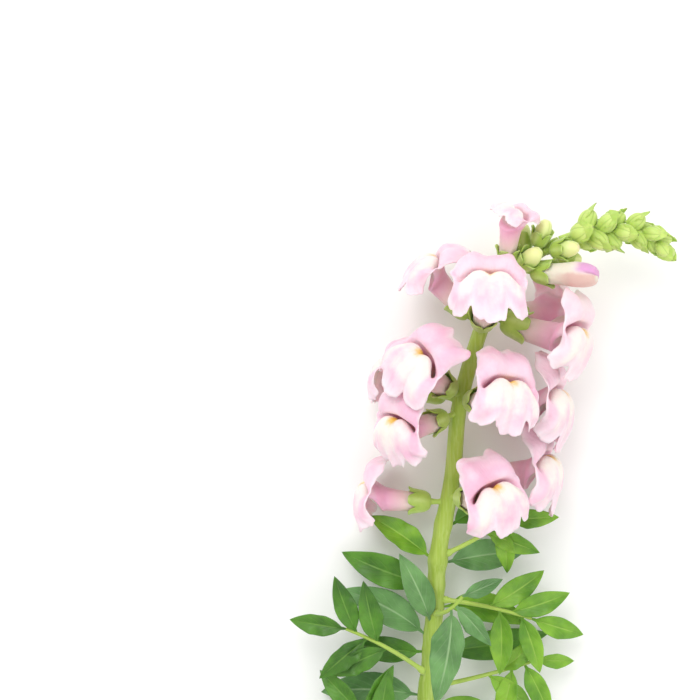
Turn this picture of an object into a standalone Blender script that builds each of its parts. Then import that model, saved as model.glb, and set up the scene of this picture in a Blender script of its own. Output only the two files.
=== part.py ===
# A cut snapdragon stem lying on a flat surface: the axis with its calyces, the two-lipped
# flowers, the buds, the curled bud tip, the stem leaves and the leafy side shoots.
# Metres, +Z up. The surface is z = 0, the cut end points to -Y and the bud tip to +Y.

import math
import random

import bmesh
import bpy
import numpy as np
from mathutils import Matrix, Vector

# Driving dimensions.
FOOTPRINT_CENTRE = Vector((0.0165, 0.0485, 0.0))
LEAF_GAP = 0.0005
SHOOT_GAP = 0.0007
TIP_GAP = 0.0006
FRAME_STEP = 0.003
RING_WELD = 0.00001
GRID_WELD = 0.00002
PETAL_THICKNESS = 0.0007
LEAF_THICKNESS = 0.0007
SEPAL_THICKNESS = 0.0009
PRESSED_HEIGHT = 0.0005
PRESS_FROM = 0.0060
STEM_SIDES = 8
STEM_FINENESS = 8
STEM_SPANS = 26
CUT_BLOCK = Vector((0.04, 0.10, 0.01))
STALK_SIDES = 5
STALK_LENGTH = 0.0075
STALK_ROOT = 0.002
STALK_INTO_CUP = 0.0030
STALK_FOOT_RADIUS = 0.0013
STALK_TOP_RADIUS = 0.0022
BUD_STALK_LENGTH = 0.0045
BUD_CALYX_SIZE = 0.86
CALYX_EASE = 0.03
SMOOTH_ANGLE = 50

# The axis, by points chosen along it: x, y, z and radius.
STEM_POINTS = [
    (-0.0240, -0.1500, 0.0042, 0.0046),
    (-0.0205, -0.1100, 0.0056, 0.0046),
    (-0.0155, -0.0550, 0.0085, 0.0046),
    (-0.0100, 0.0000, 0.0115, 0.0045),
    (-0.0070, 0.0350, 0.0145, 0.0045),
    (-0.0045, 0.0730, 0.0185, 0.0044),
    (0.0020, 0.1100, 0.0230, 0.0042),
    (0.0050, 0.1450, 0.0275, 0.0040),
    (0.0125, 0.1750, 0.0310, 0.0038),
    (0.0200, 0.1950, 0.0330, 0.0036),
    (0.0310, 0.2125, 0.0345, 0.0033),
    (0.0475, 0.2255, 0.0360, 0.0029),
    (0.0665, 0.2330, 0.0370, 0.0025),
    (0.0870, 0.2350, 0.0375, 0.0019),
    (0.0990, 0.2320, 0.0375, 0.0015),
    (0.1075, 0.2255, 0.0370, 0.0012),
]

# Where each flower grows: distance from the cut end, turn round the axis from straight up
# (positive to the right), rise towards the tip, roll, how far its face turns to the side, size
# and how far it has opened.
FLOWERS = [
    (0.2540, 30, 10, 22, 0, 0.94, 1.0),
    (0.2490, -92, -10, 0, 0, 0.90, 1.0),
    (0.2640, 95, 6, -6, -22, 1.10, 1.0),
    (0.2950, -50, -16, 0, 0, 0.90, 1.0),
    (0.3026, 27, 14, 0, 0, 0.98, 1.0),
    (0.3020, -112, 6, 0, 0, 0.92, 1.0),
    (0.3030, 99, 3, -8, -26, 1.14, 1.0),
    (0.3060, -44, 16, -24, 0, 0.98, 1.0),
    (0.3420, -98, 24, 0, 15, 0.90, 1.0),
    (0.3400, -8, 30, 20, 0, 1.00, 1.0),
    (0.3480, 84, 6, 0, -20, 1.10, 0.9),
    (0.3520, 128, 16, 0, 0, 0.90, 0.9),
    (0.3700, -50, 44, 0, 0, 0.80, 0.65),
    (0.3770, 55, 37, 0, 0, 0.94, 0.0),
]

# Closed flower buds below the tip: distance, turn, rise, size.
BUDS = [
    (0.3760, 0, 42, 0.95),
    (0.3800, -115, 40, 0.95),
    (0.3880, -50, 45, 0.85),
    (0.3930, 30, 46, 0.90),
    (0.3940, 112, 42, 0.85),
]

# Stem leaves: distance, heading seen from above (0 is +X, 90 is +Y), lift from the level,
# roll, length, width, curl down, sweep to the left.
LEAVES = [
    (0.1710, 178, 8, 10, 0.040, 0.013, 25, -12),
    (0.1880, 106, 32, 10, 0.040, 0.014, 50, 10),
    (0.1180, 132, 10, 20, 0.052, 0.017, 45, 25),
    (0.1320, 8, 6, -5, 0.052, 0.018, 25, -30),
    (0.1480, 168, 3, 10, 0.052, 0.018, 28, 20),
    (0.1460, -12, 30, -20, 0.050, 0.019, 70, -10),
    (0.1720, 4, 2, -10, 0.060, 0.015, 28, 12),
    (0.1800, 136, 12, 15, 0.050, 0.017, 45, 25),
    (0.1950, 12, 6, -15, 0.046, 0.015, 30, -45),
    (0.2060, 165, 6, 10, 0.048, 0.016, 25, -15),
    (0.2180, 12, -10, -10, 0.044, 0.016, 15, -10),
    (0.2200, 138, 4, 20, 0.038, 0.014, 20, 10),
    (0.2380, 36, -2, -20, 0.034, 0.013, 30, -8),
]

# Side shoots: distance, heading, lift, length and sweep, then each leaf's heading from the
# shoot's and its size.
SHOOTS = [
    (0.1200, 155, 34, 0.038, -30, ((55, 1.0), (-50, 1.0), (40, 1.0), (-60, 1.0), (10, 1.0))),
    (0.1540, 14, 10, 0.052, 4, ((-50, 0.9), (22, 0.8), (-112, 0.95), (-75, 1.0), (-20, 0.7))),
    (0.1620, 140, 30, 0.048, 20, ((50, 1.0), (-45, 1.0), (60, 1.0), (-42, 1.0), (12, 1.0))),
    (0.1930, 20, 78, 0.024, 40, ((-132, 1.45), (-91, 0.85), (-35, 0.75))),
    (0.1990, -5, 16, 0.045, -14, ((40, 1.0), (-70, 1.0), (30, 1.0), (-50, 1.0), (0, 1.0))),
    (0.2240, 27, 12, 0.034, 8, ((12, 0.9), (-48, 0.9), (-105, 0.85), (-30, 0.9))),
]
SHOOT_SIDES = 6
SHOOT_SPANS = 8
SHOOT_FOOT_RADIUS = 0.0013
SHOOT_END_RADIUS = 0.0008
SHOOT_LEAF_LENGTH = 0.034
SHOOT_LEAF_WIDTH = 0.012
SHOOT_LEAF_START = 0.35
SHOOT_LEAF_SIZES = (1.15, 0.90)
SHOOT_LEAF_LIFTS = (2, 14)
SHOOT_LEAF_CURL = 35
SHOOT_LEAF_SWEEP = 0.3
SHOOT_LEAF_ROLL = -0.15
SHOOT_LEAF_ROOT = 0.0003

# Rows along a leaf's length, its blade's and petiole's outline and the raise of its edges.
LEAF_ROWS = [0.0, 0.08, 0.2, 0.34, 0.48, 0.62, 0.76, 0.88, 1.0]
SMALL_LEAF_ROWS = [0.0, 0.2, 0.45, 0.72, 1.0]
LEAF_BEND_STEPS = 24
BLADE_START = 0.08
BLADE_LEAN = 0.82
BLADE_FULLNESS = 0.85
PETIOLE_HALF_WIDTH = 0.0009
PETIOLE_START = 0.45
PETIOLE_GAIN = 7
LEAF_FOLD = 0.35

# The curled bud tip: its buds, the bare length below them and how they stand on the spiral.
TIP_START = 0.4000
TIP_SPANS = 10
TIP_BUDS = 18
TIP_BARE = 0.0070
TIP_BUD_SIZE = 0.0051
TIP_BUD_TAPER = 0.0014
TIP_BUD_STRETCH = 1.25
TIP_BUD_SINK = 0.8
TIP_RISE = 34
TIP_RISE_GAIN = 40
SPIRAL_STEP = 137.5
SPIRAL_SPREAD = 10
SPIRAL_SEED = 4
BRACT_ROWS = [0, 0.45, 0.8, 1.0]
BRACT_LENGTH = 3.2
BRACT_WIDTH = 2.1
BRACT_CURL = -35
BRACT_ROOT = 0.0008

# The corolla's cage, for the half from the top (0 degrees) to the bottom (180 degrees).
# Tube rows are rings: x, half width, half height and height of the centre.
TUBE_RINGS = [
    (0.0000, 0.0024, 0.0024, 0.0000),
    (0.0030, 0.0046, 0.0048, -0.0006),
    (0.0130, 0.0056, 0.0056, 0.0000),
    (0.0210, 0.0068, 0.0064, 0.0006),
]
CAGE_STEP = 36.0
CAGE_COLUMNS = 10
BEND_START = 0.0120
BEND_LENGTH = 0.0130
# Lip rows from the mouth to the edge, at 0, 36, 72, 108, 144 and 180 degrees.
LIP_ROWS = [
    [(0.0250, 0.0000, 0.0080), (0.0255, 0.0060, 0.0078), (0.0255, 0.0100, 0.0040),
     (0.0250, 0.0095, -0.0010), (0.0245, 0.0060, -0.0040), (0.0245, 0.0000, -0.0050)],
    [(0.0290, 0.0000, 0.0108), (0.0300, 0.0070, 0.0106), (0.0290, 0.0122, 0.0062),
     (0.0288, 0.0112, 0.0024), (0.0288, 0.0062, 0.0052), (0.0282, 0.0000, 0.0046)],
    [(0.0325, 0.0000, 0.0125), (0.0340, 0.0085, 0.0124), (0.0312, 0.0150, 0.0074),
     (0.0330, 0.0140, 0.0040), (0.0342, 0.0072, 0.0082), (0.0336, 0.0000, 0.0074)],
    [(0.0325, 0.0000, 0.0172), (0.0338, 0.0105, 0.0176), (0.0308, 0.0168, 0.0084),
     (0.0362, 0.0158, -0.0010), (0.0386, 0.0082, 0.0034), (0.0378, 0.0000, 0.0030)],
    [(0.0285, 0.0000, 0.0222), (0.0288, 0.0119, 0.0218), (0.0290, 0.0176, 0.0080),
     (0.0345, 0.0172, -0.0062), (0.0384, 0.0094, -0.0062), (0.0382, 0.0000, -0.0070)],
    [(0.0222, 0.0000, 0.0246), (0.0212, 0.0126, 0.0236), (0.0262, 0.0178, 0.0072),
     (0.0275, 0.0190, -0.0088), (0.0335, 0.0112, -0.0152), (0.0352, 0.0000, -0.0175)],
]
# Notches between the lobes: angle, half width and depth in cage rows.
NOTCHES = [(0, 12, 0.5), (78, 12, 1.9), (148, 8, 0.8), (212, 8, 0.8), (282, 12, 1.9), (360, 12, 0.5)]
# The same rows while the flower is still shut.
SHUT_RINGS = [
    (0.0240, 0.0064, 0.0064, 0.0006),
    (0.0268, 0.0062, 0.0062, 0.0006),
    (0.0292, 0.0057, 0.0057, 0.0006),
    (0.0312, 0.0050, 0.0050, 0.0006),
    (0.0328, 0.0038, 0.0038, 0.0006),
    (0.0338, 0.0016, 0.0016, 0.0006),
]
FLOWER_COLUMNS = [0, 25, 54, 78, 96, 120, 148, 180, 212, 240, 264, 282, 306, 335, 360]
FLOWER_ROWS = [0, 1.2, 3.4, 4.3, 5.3, 6.2, 7.4, 9]

# A shut bud: rings of x, half width, half height and height of the centre, and its length.
BUD_RINGS = [
    (0.0000, 0.0022, 0.0022, 0.0000),
    (0.0025, 0.0042, 0.0042, 0.0000),
    (0.0065, 0.0048, 0.0048, 0.0000),
    (0.0105, 0.0042, 0.0044, 0.0002),
    (0.0135, 0.0026, 0.0028, 0.0004),
]
BUD_LENGTH = 0.0148
BUD_COLUMNS = [0, 45, 90, 135, 180, 225, 270, 315, 360]

# A calyx: rings of x and radius up to the rim of the cup, then the sepals' tips and notches.
CUP_RINGS = [(-0.0032, 0.0), (0.0030, 0.0061)]
SEPAL_TIP = (0.0092, 0.0074)
SEPAL_NOTCH = (0.0042, 0.0064)
SEPAL_STEP = 36


def catmull_rom(points, position):
    """A point on the smooth curve through the rows of points, at a fractional row."""
    last = len(points) - 1
    row = min(max(int(math.floor(position)), 0), last - 1)
    part = position - row
    before, start = points[max(row - 1, 0)], points[row]
    end, after = points[row + 1], points[min(row + 2, last)]
    return 0.5 * (2 * start + (end - before) * part
                  + (2 * before - 5 * start + 4 * end - after) * part ** 2
                  + (3 * start - before - 3 * end + after) * part ** 3)


def smooth_stem(count_per_span):
    """The axis as a close row of points: x, y, z and radius."""
    points = np.array(STEM_POINTS)
    points[:, :3] -= np.array(FOOTPRINT_CENTRE)
    spans = (len(points) - 1) * count_per_span
    return np.array([catmull_rom(points, i / count_per_span) for i in range(spans + 1)])


STEM = smooth_stem(STEM_FINENESS)
STEM_DISTANCE = np.concatenate(
    [[0.0], np.cumsum(np.linalg.norm(np.diff(STEM[:, :3], axis=0), axis=1))])


def stem_point(distance):
    """The axis at a distance from the cut end: the point and the radius."""
    values = [np.interp(distance, STEM_DISTANCE, STEM[:, i]) for i in range(4)]
    return Vector(values[:3]), values[3]


def stem_frame(distance, turn):
    """The axis there: point, radius, direction along it and direction outwards."""
    point, radius = stem_point(distance)
    ahead, behind = stem_point(distance + FRAME_STEP)[0], stem_point(distance - FRAME_STEP)[0]
    along = (ahead - behind).normalized()
    top = (Vector((0, 0, 1)) - along * along.z).normalized()
    side = along.cross(top)
    angle = math.radians(turn)
    return point, radius, along, top * math.cos(angle) + side * math.sin(angle)


def growth_frame(distance, turn, rise, roll=0.0):
    """A matrix at the axis's skin: X the way the piece grows, Z towards the tip."""
    point, radius, along, outward = stem_frame(distance, turn)
    lift = math.radians(rise)
    forward = outward * math.cos(lift) + along * math.sin(lift)
    up = (along - forward * along.dot(forward)).normalized()
    side = up.cross(forward)
    rotation = Matrix((forward, side, up)).transposed().to_4x4()
    rotation = rotation @ Matrix.Rotation(math.radians(roll), 4, "X")
    return Matrix.Translation(point + outward * radius) @ rotation


def press(point):
    """Petals and leaves that would dip into the surface are pressed flat on it."""
    if point.z < PRESS_FROM:
        room = PRESS_FROM - PRESSED_HEIGHT
        point.z = PRESSED_HEIGHT + room * math.exp((point.z - PRESS_FROM) / room)
    return point


def ring_row(ring):
    """One turn of the cage from a tube ring."""
    x, half_width, half_height, centre = ring
    angles = [math.radians(CAGE_STEP * i) for i in range(CAGE_COLUMNS)]
    return [(x, half_width * math.sin(a), centre + half_height * math.cos(a)) for a in angles]


def lip_row(half):
    """One turn of the cage from the half of a lip row."""
    mirrored = [(x, -y, z) for x, y, z in half[4:0:-1]]
    return list(half) + mirrored


OPEN_CAGE = np.array([ring_row(r) for r in TUBE_RINGS] + [lip_row(r) for r in LIP_ROWS])
SHUT_CAGE = np.array([ring_row(r) for r in TUBE_RINGS + SHUT_RINGS])


def corolla_point(cage, angle, row, opening=1.0):
    """A point of the corolla at an angle round it and a fractional row of its cage."""
    mouth, edge = len(TUBE_RINGS), len(cage) - 1
    if row > mouth:
        depth = sum(d * math.exp(-((angle - a) / w) ** 2) for a, w, d in NOTCHES) * opening
        row = mouth + (row - mouth) * (edge - mouth - depth) / (edge - mouth)
    turn = np.array([catmull_rom(cage[:, i], row) for i in range(CAGE_COLUMNS)])
    wrapped = np.concatenate([turn[-2:], turn, turn[:3]])
    return Vector(catmull_rom(wrapped, angle / CAGE_STEP + 2))


def make_material(name, colour, roughness):
    """A plain material of one colour."""
    material = bpy.data.materials.new(name)
    material.use_nodes = True
    shader = material.node_tree.nodes["Principled BSDF"]
    shader.inputs["Base Color"].default_value = (*colour, 1.0)
    shader.inputs["Roughness"].default_value = roughness
    shader.inputs["Metallic"].default_value = 0.0
    material.diffuse_color = (*colour, 1.0)
    return material


def add_object(name, bm, material, thickness=0.0, offset=0.0):
    """An object of a bmesh, its open surface given a thickness."""
    if thickness:
        bmesh.ops.triangulate(bm, faces=bm.faces)
    mesh = bpy.data.meshes.new(name)
    bm.to_mesh(mesh)
    bm.free()
    mesh.materials.append(material)
    mesh.shade_smooth()
    thing = bpy.data.objects.new(name, mesh)
    PART.objects.link(thing)
    if thickness:
        solidify = thing.modifiers.new("Solidify", "SOLIDIFY")
        solidify.thickness = thickness
        solidify.offset = offset
    return thing


def fuse(name, pieces, material):
    """One object of overlapping closed pieces, which are removed."""
    joined = bpy.data.collections.new(name + "_pieces")
    bpy.context.scene.collection.children.link(joined)
    for piece in pieces[1:]:
        PART.objects.unlink(piece)
        joined.objects.link(piece)
    union = pieces[0].modifiers.new("Union", "BOOLEAN")
    union.operation = "UNION"
    union.solver = "MANIFOLD"
    union.operand_type = "COLLECTION"
    union.collection = joined
    depsgraph = bpy.context.evaluated_depsgraph_get()
    mesh = bpy.data.meshes.new_from_object(pieces[0].evaluated_get(depsgraph))
    for piece in pieces:
        bpy.data.objects.remove(piece, do_unlink=True)
    bpy.data.collections.remove(joined)
    mesh.name = name
    mesh.materials.clear()
    mesh.materials.append(material)
    mesh.shade_smooth()
    mesh.set_sharp_from_angle(angle=math.radians(SMOOTH_ANGLE))
    thing = bpy.data.objects.new(name, mesh)
    PART.objects.link(thing)
    return thing


def tube(name, points, material, sides):
    """A closed tube along points that each hold a radius."""
    curve = bpy.data.curves.new(name, "CURVE")
    curve.dimensions = "3D"
    curve.bevel_depth = 1.0
    curve.bevel_resolution = sides // 2 - 2
    curve.use_fill_caps = True
    spline = curve.splines.new("POLY")
    spline.points.add(len(points) - 1)
    for place, (x, y, z, radius) in zip(spline.points, points):
        place.co = (x, y, z, 1.0)
        place.radius = radius
    guide = bpy.data.objects.new(name, curve)
    PART.objects.link(guide)
    depsgraph = bpy.context.evaluated_depsgraph_get()
    mesh = bpy.data.meshes.new_from_object(guide.evaluated_get(depsgraph))
    bpy.data.objects.remove(guide, do_unlink=True)
    bm = bmesh.new()
    bm.from_mesh(mesh)
    bmesh.ops.remove_doubles(bm, verts=bm.verts, dist=RING_WELD)
    bmesh.ops.recalc_face_normals(bm, faces=bm.faces)
    return add_object(name, bm, material)


def grid_surface(columns, rows, place):
    """A grid whose points are placed by a function of their column and row."""
    bm = bmesh.new()
    bmesh.ops.create_grid(bm, x_segments=len(columns) - 1, y_segments=len(rows) - 1, size=0.5)
    for vert in bm.verts:
        column = round((vert.co.x + 0.5) * (len(columns) - 1))
        row = round((vert.co.y + 0.5) * (len(rows) - 1))
        vert.co = place(columns[column], rows[row])
    bmesh.ops.remove_doubles(bm, verts=bm.verts, dist=GRID_WELD)
    return bm


def face_side(point, angle, size):
    """A corolla's point once the tube bends sideways, so that its face turns by the angle."""
    reach = max(point.x - BEND_START * size, 0.0)
    bend = math.radians(angle) * min(reach / (BEND_LENGTH * size), 1.0)
    point.x += reach * (math.cos(bend) - 1) - point.y * math.sin(bend)
    point.y = point.y * math.cos(bend) + reach * math.sin(bend)
    return point


def make_flower(name, distance, turn, rise, roll, face, size, opening):
    """One corolla: a tube with a two-lobed upper lip, a palate and a three-lobed lower lip."""
    seat = growth_frame(distance, turn, rise, roll) @ Matrix.Translation((STALK_LENGTH, 0, 0))
    cage = (OPEN_CAGE * opening + SHUT_CAGE * (1 - opening)) * size

    def place(angle, row):
        if row < 0:
            return press(seat @ Vector((0, 0, 0)))
        point = corolla_point(cage, angle, row, opening)
        return press(seat @ face_side(point, face, size))

    bm = grid_surface(FLOWER_COLUMNS, [-1] + FLOWER_ROWS, place)
    return add_object(name, bm, PETAL, PETAL_THICKNESS)


def make_bud(name, distance, turn, rise, size):
    """One shut flower bud: a closed egg-shaped body."""
    seat = growth_frame(distance, turn, rise) @ Matrix.Translation((BUD_STALK_LENGTH, 0, 0))

    def place(angle, row):
        if row < 0:
            return seat @ Vector((0, 0, 0))
        if row == len(BUD_RINGS):
            return seat @ Vector((BUD_LENGTH * size, 0, 0))
        x, half_width, half_height, centre = BUD_RINGS[row]
        angle = math.radians(angle)
        return seat @ (Vector((x, half_width * math.sin(angle),
                               centre + half_height * math.cos(angle))) * size)

    bm = grid_surface(BUD_COLUMNS, list(range(-1, len(BUD_RINGS) + 1)), place)
    bmesh.ops.recalc_face_normals(bm, faces=bm.faces)
    return add_object(name, bm, BUD)


def make_calyx(name, distance, turn, rise, roll, size, stalk_length):
    """The green cup of five sepals at the foot of a flower, with its stalk."""
    skin = growth_frame(distance, turn, rise, roll)
    seat = skin @ Matrix.Translation((stalk_length, 0, 0))

    def place(column, row):
        if row < len(CUP_RINGS):
            x, radius = CUP_RINGS[row]
        else:
            x, radius = SEPAL_TIP if column % 2 == 0 else SEPAL_NOTCH
        angle = math.radians(SEPAL_STEP * column)
        return seat @ (Vector((x, radius * math.sin(angle), radius * math.cos(angle))) * size)

    bm = grid_surface(list(range(360 // SEPAL_STEP + 1)), [0, 1, 2], place)
    bmesh.ops.recalc_face_normals(bm, faces=bm.faces)
    cup = add_object(name, bm, STEM_GREEN, SEPAL_THICKNESS, 1.0)
    stalk = bmesh.new()
    root, end = -STALK_ROOT, stalk_length - STALK_INTO_CUP * size
    lie = Matrix.Rotation(math.radians(90), 4, "Y")
    middle = skin @ Matrix.Translation(((root + end) / 2, 0, 0)) @ lie
    bmesh.ops.create_cone(stalk, cap_ends=True, segments=STALK_SIDES, radius1=STALK_FOOT_RADIUS,
                          radius2=STALK_TOP_RADIUS * size, depth=end - root, matrix=middle)
    return [cup, add_object(name + "_stalk", stalk, STEM_GREEN)]


def leaf_width(part):
    """Half of a leaf's width at a part of its length, where the widest is 1."""
    blade = min(max((part - BLADE_START) / (1 - BLADE_START), 0.0), 1.0)
    if blade == 1.0:
        return 0.0
    return math.sin(math.pi * blade ** BLADE_LEAN) ** BLADE_FULLNESS


def heading_vector(heading, lift):
    """A unit vector from a heading seen from above and a lift, in degrees."""
    heading, lift = math.radians(heading), math.radians(lift)
    return Vector((math.cos(heading) * math.cos(lift), math.sin(heading) * math.cos(lift),
                   math.sin(lift)))


def facing_frame(point, forward, roll):
    """A matrix at a point: X along the piece, Z its upper face, turned by the roll."""
    up = (Vector((0, 0, 1)) - forward * forward.z).normalized()
    rotation = Matrix((forward, up.cross(forward), up)).transposed().to_4x4()
    rotation = rotation @ Matrix.Rotation(math.radians(roll), 4, "X")
    return Matrix.Translation(point) @ rotation


def skin_point(distance, forward, gap):
    """The point just off the axis's skin from which a piece grows forward."""
    point, radius, along, _ = stem_frame(distance, 0)
    outward = (forward - along * forward.dot(along)).normalized()
    return point + outward * (radius + gap)


def make_leaf(name, seat, length, width, curl, sweep, rows, material):
    """One arched leaf blade with a raised edge on each side of its midrib."""

    def place(across, part):
        spot = Vector((0, 0, 0))
        step = length * part / LEAF_BEND_STEPS
        for i in range(LEAF_BEND_STEPS):
            reach = part * (i + 0.5) / LEAF_BEND_STEPS
            pitch, yaw = math.radians(curl) * reach, math.radians(sweep) * reach
            spot += Vector((math.cos(pitch) * math.cos(yaw), math.cos(pitch) * math.sin(yaw),
                            -math.sin(pitch))) * step
        petiole = PETIOLE_HALF_WIDTH * min(1.0, PETIOLE_START + PETIOLE_GAIN * part)
        half = max(width / 2 * leaf_width(part), petiole * (1 - part))
        yaw = math.radians(sweep) * part
        spot += Vector((-math.sin(yaw), math.cos(yaw), 0)) * across * half
        spot.z += abs(across) * half * LEAF_FOLD
        return press(seat @ spot)

    bm = grid_surface([-1, 0, 1], rows, place)
    bmesh.ops.recalc_face_normals(bm, faces=bm.faces)
    return add_object(name, bm, material, LEAF_THICKNESS)


def make_shoot(name, distance, heading, lift, length, sweep, leaves):
    """A thin side stalk with small leaves along it, joined in one body."""
    spot = skin_point(distance, heading_vector(heading, lift), SHOOT_GAP)
    path = []
    for i in range(SHOOT_SPANS + 1):
        part = i / SHOOT_SPANS
        radius = SHOOT_FOOT_RADIUS + (SHOOT_END_RADIUS - SHOOT_FOOT_RADIUS) * part
        path.append((*press(spot.copy()), radius))
        spot += heading_vector(heading + sweep * part, lift * (1 - part)) * (length / SHOOT_SPANS)
    pieces = [tube(name, path, LEAF, SHOOT_SIDES)]
    for i, (turn, scale) in enumerate(leaves):
        part = SHOOT_LEAF_START + (1 - SHOOT_LEAF_START) * (i + 1) / len(leaves)
        leaf_lift = lift * (1 - part) + SHOOT_LEAF_LIFTS[i % 2]
        forward = heading_vector(heading + sweep * part + turn, leaf_lift)
        root = Vector(path[round(part * SHOOT_SPANS)][:3]) - forward * SHOOT_LEAF_ROOT
        first, last = SHOOT_LEAF_SIZES
        size = (first + (last - first) * part) * scale
        blade = make_leaf(name + "_leaf", facing_frame(root, forward, turn * SHOOT_LEAF_ROLL),
                          SHOOT_LEAF_LENGTH * size, SHOOT_LEAF_WIDTH * size, SHOOT_LEAF_CURL,
                          turn * SHOOT_LEAF_SWEEP, SMALL_LEAF_ROWS, LEAF)
        pieces.append(blade)
    return fuse(name, pieces, LEAF)


def make_bud_tip():
    """The end of the axis with its crowded green buds, each over a pointed bract."""
    draw = random.Random(SPIRAL_SEED)
    end = STEM_DISTANCE[-1]
    start = TIP_START + TIP_GAP
    path = [stem_point(start + (end - start) * i / TIP_SPANS) for i in range(TIP_SPANS + 1)]
    pieces = [tube("bud_tip", [(*p, r) for p, r in path], BUD_GREEN, STEM_SIDES)]
    for i in range(TIP_BUDS):
        part = (i + 0.5) / TIP_BUDS
        distance = TIP_START + TIP_BARE + (end - TIP_START - TIP_BARE) * part
        turn = i * SPIRAL_STEP + draw.uniform(-SPIRAL_SPREAD, SPIRAL_SPREAD)
        size = TIP_BUD_SIZE - TIP_BUD_TAPER * part
        seat = growth_frame(distance, turn, TIP_RISE + TIP_RISE_GAIN * part ** 3)
        ball = bmesh.new()
        bmesh.ops.create_uvsphere(ball, u_segments=6, v_segments=4, radius=size)
        bmesh.ops.scale(ball, vec=(TIP_BUD_STRETCH, 1.0, 1.0), verts=ball.verts)
        ball.transform(seat @ Matrix.Translation((size * TIP_BUD_SINK, 0, 0)))
        pieces.append(add_object("bud", ball, BUD_GREEN))
        under = seat @ Matrix.Translation((-BRACT_ROOT, 0, -size * TIP_BUD_SINK))
        pieces.append(make_leaf("bract", under, size * BRACT_LENGTH, size * BRACT_WIDTH,
                                BRACT_CURL, 0, BRACT_ROWS, BUD_GREEN))
    return fuse("bud_tip", pieces, BUD_GREEN)


def make_stem():
    """The axis up to the bud tip, with every stalk and calyx that grows from it."""
    path = [stem_point(TIP_START * i / STEM_SPANS) for i in range(STEM_SPANS + 1)]
    pieces = [tube("stem", [(*p, r) for p, r in path], STEM_GREEN, STEM_SIDES)]
    for distance, turn, rise, roll, _, size, _ in FLOWERS:
        pieces += make_calyx("calyx", distance, turn, rise, roll, size + CALYX_EASE, STALK_LENGTH)
    for distance, turn, rise, size in BUDS:
        pieces += make_calyx("calyx", distance, turn, rise, 0, size * BUD_CALYX_SIZE,
                             BUD_STALK_LENGTH)
    stem = fuse("stem", pieces, STEM_GREEN)
    below = (STEM[0][0], STEM[0][1], -CUT_BLOCK.z / 2)
    bpy.ops.mesh.primitive_cube_add(size=1.0, location=below)
    surface = bpy.context.object
    surface.name = "surface_cutter"
    surface.scale = CUT_BLOCK
    surface.hide_render = True
    surface.display_type = "WIRE"
    for home in list(surface.users_collection):
        home.objects.unlink(surface)
    CUTTERS.objects.link(surface)
    flat = stem.modifiers.new("Flat underside", "BOOLEAN")
    flat.operation = "DIFFERENCE"
    flat.solver = "EXACT"
    flat.object = surface


for old in list(bpy.data.objects):
    bpy.data.objects.remove(old, do_unlink=True)

PART = bpy.data.collections.new("snapdragon_stem")
bpy.context.scene.collection.children.link(PART)
CUTTERS = bpy.data.collections.new("cutters")
bpy.context.scene.collection.children.link(CUTTERS)
STEM_GREEN = make_material("stem_green", (0.36, 0.52, 0.10), 0.45)
BUD_GREEN = make_material("bud_green", (0.45, 0.62, 0.18), 0.5)
LEAF = make_material("leaf_green", (0.12, 0.30, 0.06), 0.4)
PETAL = make_material("petal_pink", (0.86, 0.48, 0.62), 0.5)
BUD = make_material("bud_cream", (0.80, 0.72, 0.55), 0.5)

make_stem()
make_bud_tip()
for number, flower in enumerate(FLOWERS, 1):
    make_flower(f"bloom_{number:02d}", *flower)
for number, bud in enumerate(BUDS, 1):
    make_bud(f"bud_{number:02d}", *bud)
for number, (distance, heading, lift, roll, *shape) in enumerate(LEAVES, 1):
    forward = heading_vector(heading, lift)
    seat = facing_frame(skin_point(distance, forward, LEAF_GAP), forward, roll)
    make_leaf(f"leaf_{number:02d}", seat, *shape, LEAF_ROWS, LEAF)
for number, shoot in enumerate(SHOOTS, 1):
    make_shoot(f"shoot_{number:02d}", *shoot)
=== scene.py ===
# A cut snapdragon stem laid on a pale table, seen from straight above.
# Metres, +Z up. The cut end points to -Y and the flowers to +Y, with the tip curled to +X.

import math
import random

import bpy
import numpy as np
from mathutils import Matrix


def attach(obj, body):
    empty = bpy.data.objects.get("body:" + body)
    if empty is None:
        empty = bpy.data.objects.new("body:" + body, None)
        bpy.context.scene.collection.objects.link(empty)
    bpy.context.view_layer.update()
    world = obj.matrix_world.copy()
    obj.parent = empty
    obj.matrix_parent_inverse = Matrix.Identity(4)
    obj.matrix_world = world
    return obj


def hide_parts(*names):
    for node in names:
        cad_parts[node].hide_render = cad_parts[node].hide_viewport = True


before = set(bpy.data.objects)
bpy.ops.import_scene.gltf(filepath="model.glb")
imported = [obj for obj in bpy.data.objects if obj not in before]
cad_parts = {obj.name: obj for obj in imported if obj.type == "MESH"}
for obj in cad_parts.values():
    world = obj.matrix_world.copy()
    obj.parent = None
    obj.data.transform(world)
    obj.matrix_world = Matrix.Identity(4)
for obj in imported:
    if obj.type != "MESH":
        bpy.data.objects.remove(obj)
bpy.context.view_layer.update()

# The axis. A snapdragon's stem is a solid green rod, faintly ridged, a little swollen where a
# leaf grows and cut square at the foot. It lies on the table by its cut end.
# Its places from the cut end: x, y, height of its middle and radius.
STEM_PLACES = np.array([
    (-0.0240, -0.1500, 0.0042, 0.0046),
    (-0.0205, -0.1100, 0.0056, 0.0046),
    (-0.0155, -0.0550, 0.0085, 0.0046),
    (-0.0100, 0.0000, 0.0115, 0.0045),
    (-0.0070, 0.0350, 0.0145, 0.0045),
    (-0.0045, 0.0730, 0.0185, 0.0044),
    (0.0020, 0.1100, 0.0230, 0.0042),
    (0.0050, 0.1450, 0.0275, 0.0040),
    (0.0125, 0.1750, 0.0310, 0.0038),
    (0.0200, 0.1950, 0.0330, 0.0036),
    (0.0310, 0.2125, 0.0345, 0.0033),
    (0.0475, 0.2255, 0.0360, 0.0029),
    (0.0665, 0.2330, 0.0370, 0.0025),
    (0.0870, 0.2350, 0.0375, 0.0019),
    (0.0990, 0.2320, 0.0375, 0.0015),
    (0.1075, 0.2255, 0.0370, 0.0012),
])
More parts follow.
